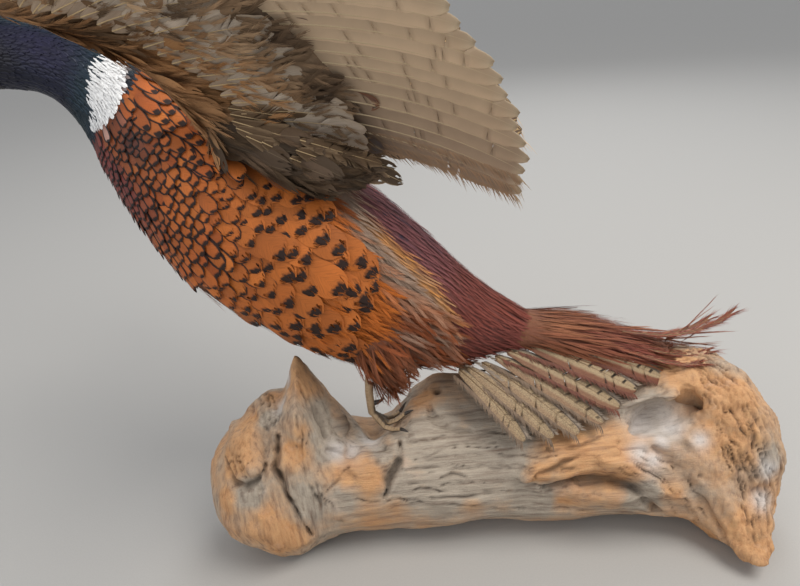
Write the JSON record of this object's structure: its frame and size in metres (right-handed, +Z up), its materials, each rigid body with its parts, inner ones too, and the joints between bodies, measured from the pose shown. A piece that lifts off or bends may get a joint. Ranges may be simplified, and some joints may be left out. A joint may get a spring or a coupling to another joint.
{
  "type": "taxidermy pheasant on driftwood",
  "caption": "Mounted cock pheasant with raised wings, leaning forward on a weathered driftwood log that lies on the floor.",
  "frame": {"origin": "on the floor, on the flat underside of the log near its middle", "axes": "+Z up, the bird faces -X, its left side faces -Y, the log runs along X"},
  "size_m": [0.6573, 0.4637, 0.6612],
  "materials": {
    "plumage_neck": "glossy dark blue-green feathers, white ring",
    "plumage_body": "copper-orange feathers with black tips",
    "plumage_rump": "maroon hair-like feathers",
    "plumage_tail": "buff feathers with black bars and maroon fringes",
    "plumage_wing": "brown coverts",
    "quills": "pale wing feathers",
    "wattle": "dry warty red skin",
    "bill": "horn",
    "claws": "dark horn",
    "legs": "dry scaled skin",
    "eyes": "polished glass eye",
    "driftwood": "weathered, sanded smooth"
  },
  "bodies": {
    "root": {"driftwood_log": "driftwood", "neck": "plumage_neck", "trunk": "plumage_body", "rump": "plumage_rump", "head": "plumage_neck", "bill_upper": "bill", "bill_lower": "bill", "eye_left": "eyes", "wattle_left": "wattle", "ear_tuft_left": "plumage_neck", "eye_right": "eyes", "wattle_right": "wattle", "ear_tuft_right": "plumage_neck", "tail_coverts": "plumage_tail", "tail_feathers_left": "plumage_tail", "tail_feathers_right": "plumage_tail", "wing_arm_left": "plumage_wing", "scapulars_left": "plumage_wing", "secondaries_left": "quills", "primaries_left": "quills", "wing_arm_right": "plumage_wing", "scapulars_right": "plumage_wing", "secondaries_right": "quills", "primaries_right": "quills", "thigh_left": "plumage_body", "leg_left": "legs", "spur_left": "claws", "claw_left_1": "claws", "claw_left_2": "claws", "claw_left_3": "claws", "thigh_right": "plumage_body", "leg_right": "legs", "spur_right": "claws", "claw_right_1": "claws", "claw_right_2": "claws", "claw_right_3": "claws"}
  },
  "joints": []
}
